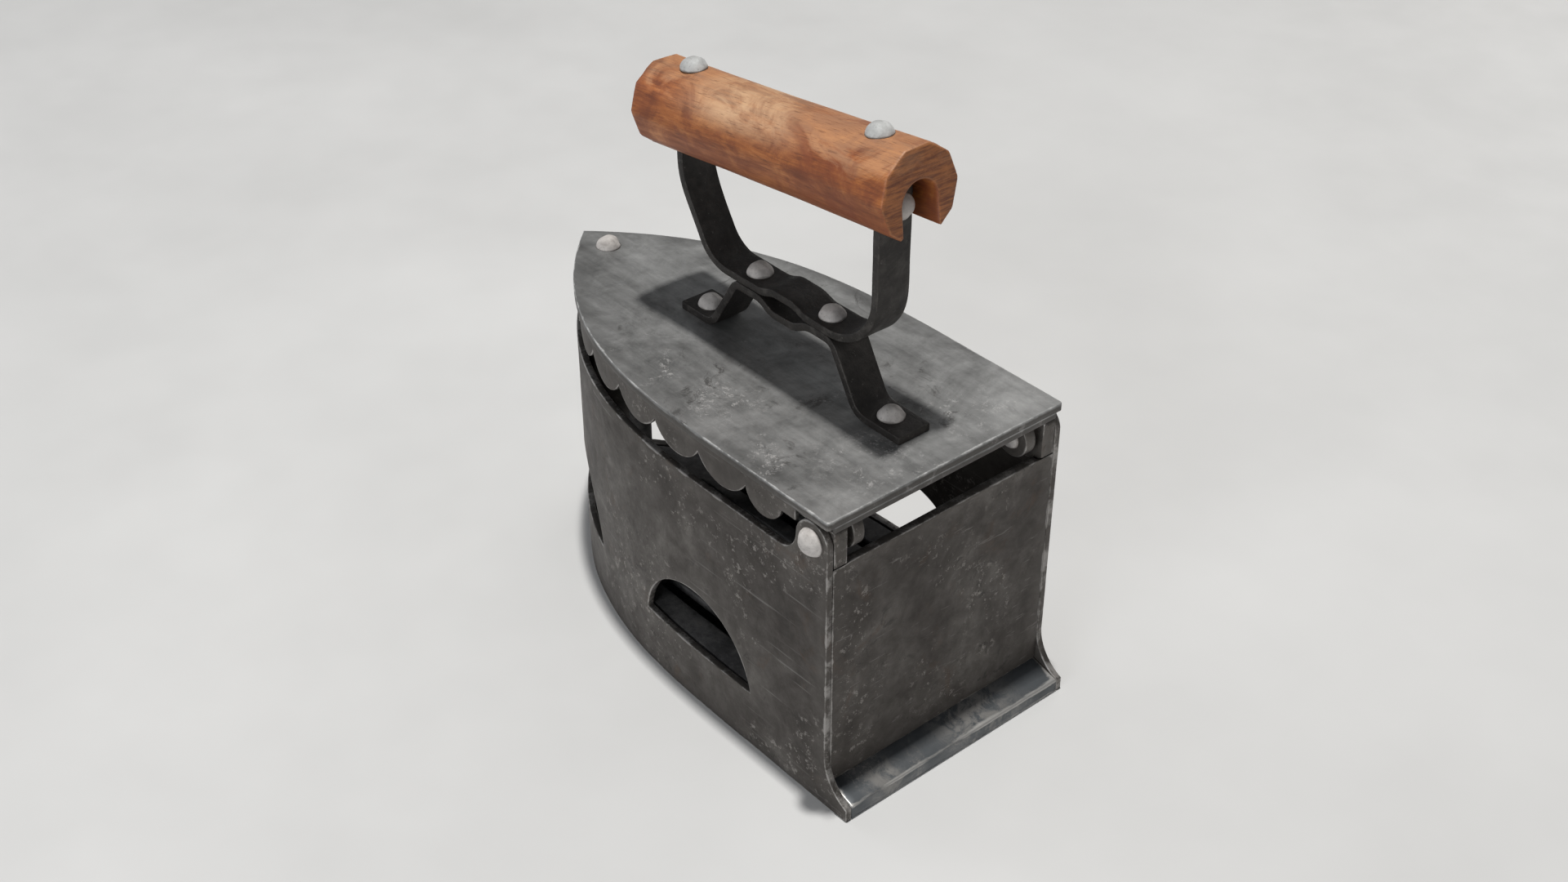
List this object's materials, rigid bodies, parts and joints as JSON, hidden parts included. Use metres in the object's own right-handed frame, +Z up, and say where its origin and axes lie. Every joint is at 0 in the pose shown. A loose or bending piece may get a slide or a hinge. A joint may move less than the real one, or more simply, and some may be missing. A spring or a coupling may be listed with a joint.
{
  "type": "charcoal iron",
  "caption": "Antique charcoal iron: pointed iron box with half-moon draught vents, hinged scalloped lid, turn latch and a grooved wooden grip on bent straps.",
  "frame": {"origin": "middle of the iron's length and width, on the sole's flat working face", "axes": "+X to the nose, +Y to the iron's left side, +Z up through the grip"},
  "size_m": [0.196, 0.1042, 0.2073],
  "materials": {
    "box_iron": "dark brown-grey, worn, matt",
    "sole_steel": "polished by use, smooth",
    "lid_steel": "worn grey sheet with bright edges",
    "strap_iron": "near-black forged iron, matt",
    "rivet_metal": "pale, rough, hand closed",
    "grip_wood": "orange-brown hardwood, worn"
  },
  "bodies": {
    "box": {"fire_grate": "box_iron", "front_grate_stud": "box_iron", "left_corner_strip": "box_iron", "left_grate_stud": "box_iron", "left_hinge_pin": "rivet_metal", "left_side_wall": "box_iron", "nose_corner_strip": "box_iron", "nose_post": "box_iron", "rear_wall": "box_iron", "right_corner_strip": "box_iron", "right_grate_stud": "box_iron", "right_hinge_pin": "rivet_metal", "right_side_wall": "box_iron", "sole_plate": "sole_steel"},
    "lid": {"foot_strap": "strap_iron", "front_arm_rivet": "rivet_metal", "front_bridge_rivet": "rivet_metal", "front_foot_burr": "box_iron", "front_foot_rivet": "rivet_metal", "front_grip_rivet": "rivet_metal", "grip_tang": "strap_iron", "handle_strap": "strap_iron", "latch_spacer": "box_iron", "latch_washer": "box_iron", "left_hinge_bracket": "box_iron", "left_lid_skirt": "box_iron", "lid_plate": "lid_steel", "nose_rivet": "rivet_metal", "rear_arm_rivet": "rivet_metal", "rear_bridge_rivet": "rivet_metal", "rear_foot_burr": "box_iron", "rear_foot_rivet": "rivet_metal", "rear_grip_rivet": "rivet_metal", "right_hinge_bracket": "box_iron", "right_lid_skirt": "box_iron", "wooden_grip": "grip_wood"},
    "latch": {"latch_lever": "strap_iron"}
  },
  "joints": [
    {"name": "lid_hinge", "type": "hinge", "parent": "box", "child": "lid", "pos_m": [-0.0805, 0, 0.0997], "axis": [0, -1, 0], "range_deg": [0, 90]},
    {"name": "latch_pivot", "type": "hinge", "parent": "lid", "child": "latch", "pos_m": [0.0833, 0, 0.0929], "axis": [0, 0, -1], "range_deg": [0, 45]}
  ]
}
